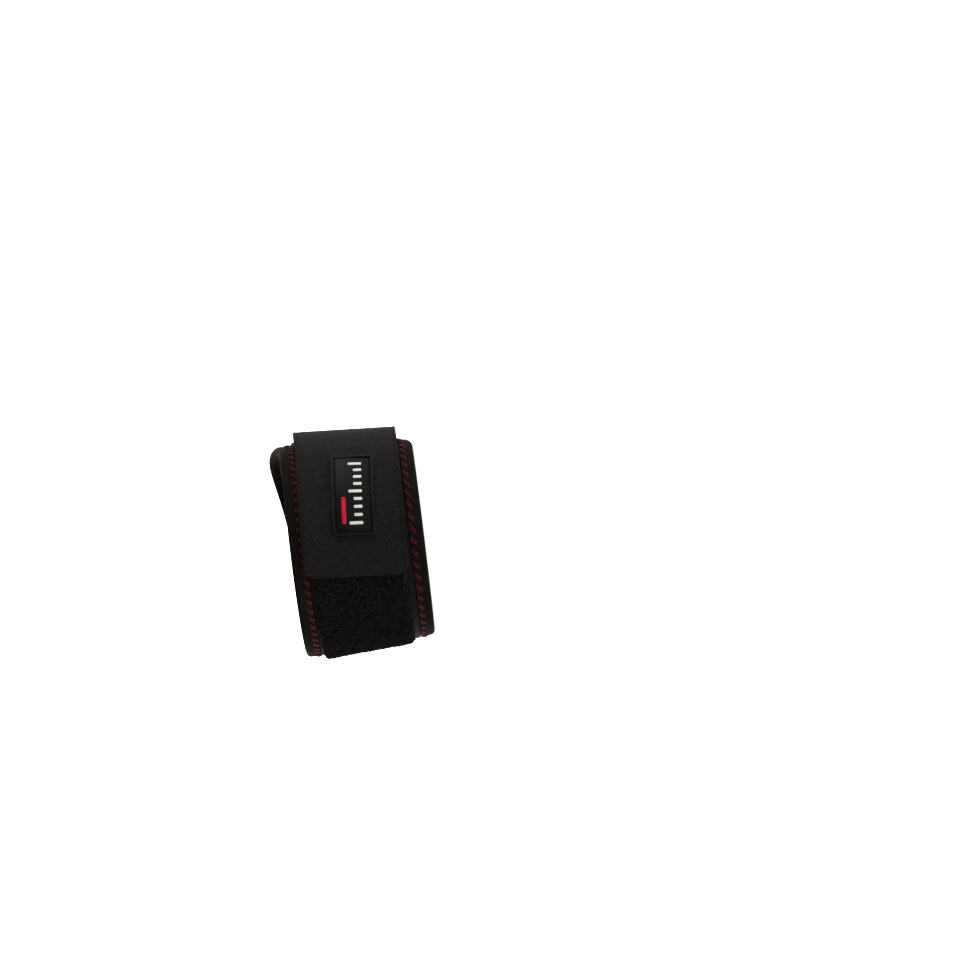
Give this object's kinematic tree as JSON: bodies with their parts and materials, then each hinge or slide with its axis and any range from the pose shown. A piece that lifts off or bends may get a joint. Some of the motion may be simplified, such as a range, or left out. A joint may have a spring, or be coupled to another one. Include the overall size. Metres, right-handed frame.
{
  "type": "tennis elbow brace",
  "caption": "Wrapped neoprene forearm brace with bound edges, a pile panel and a wide hook strap that closes over the front, carrying a plain moulded label.",
  "frame": {"origin": "under the middle of the brace's box, on the plane of the wrist rim that it stands on", "axes": "+Z along the forearm axis from the wrist rim to the elbow rim, -Y towards the label at the front, +X towards the side that the strap crosses"},
  "size_m": [0.1142, 0.1084, 0.0733],
  "materials": {
    "neoprene": "matte jersey face on foam",
    "binding_tape": "smooth knitted tape with a soft sheen",
    "loop_pile": "brushed loop pile",
    "hook_strap": "fine woven tape",
    "label_rubber": "moulded satin rubber",
    "stitch_thread": "red sewing thread"
  },
  "bodies": {
    "root": {"band": "neoprene", "binding_wrist": "binding_tape", "binding_elbow": "binding_tape", "binding_outer_end": "binding_tape", "binding_inner_end": "binding_tape", "loop_panel": "loop_pile", "strap": "hook_strap", "label": "label_rubber"}
  },
  "joints": []
}
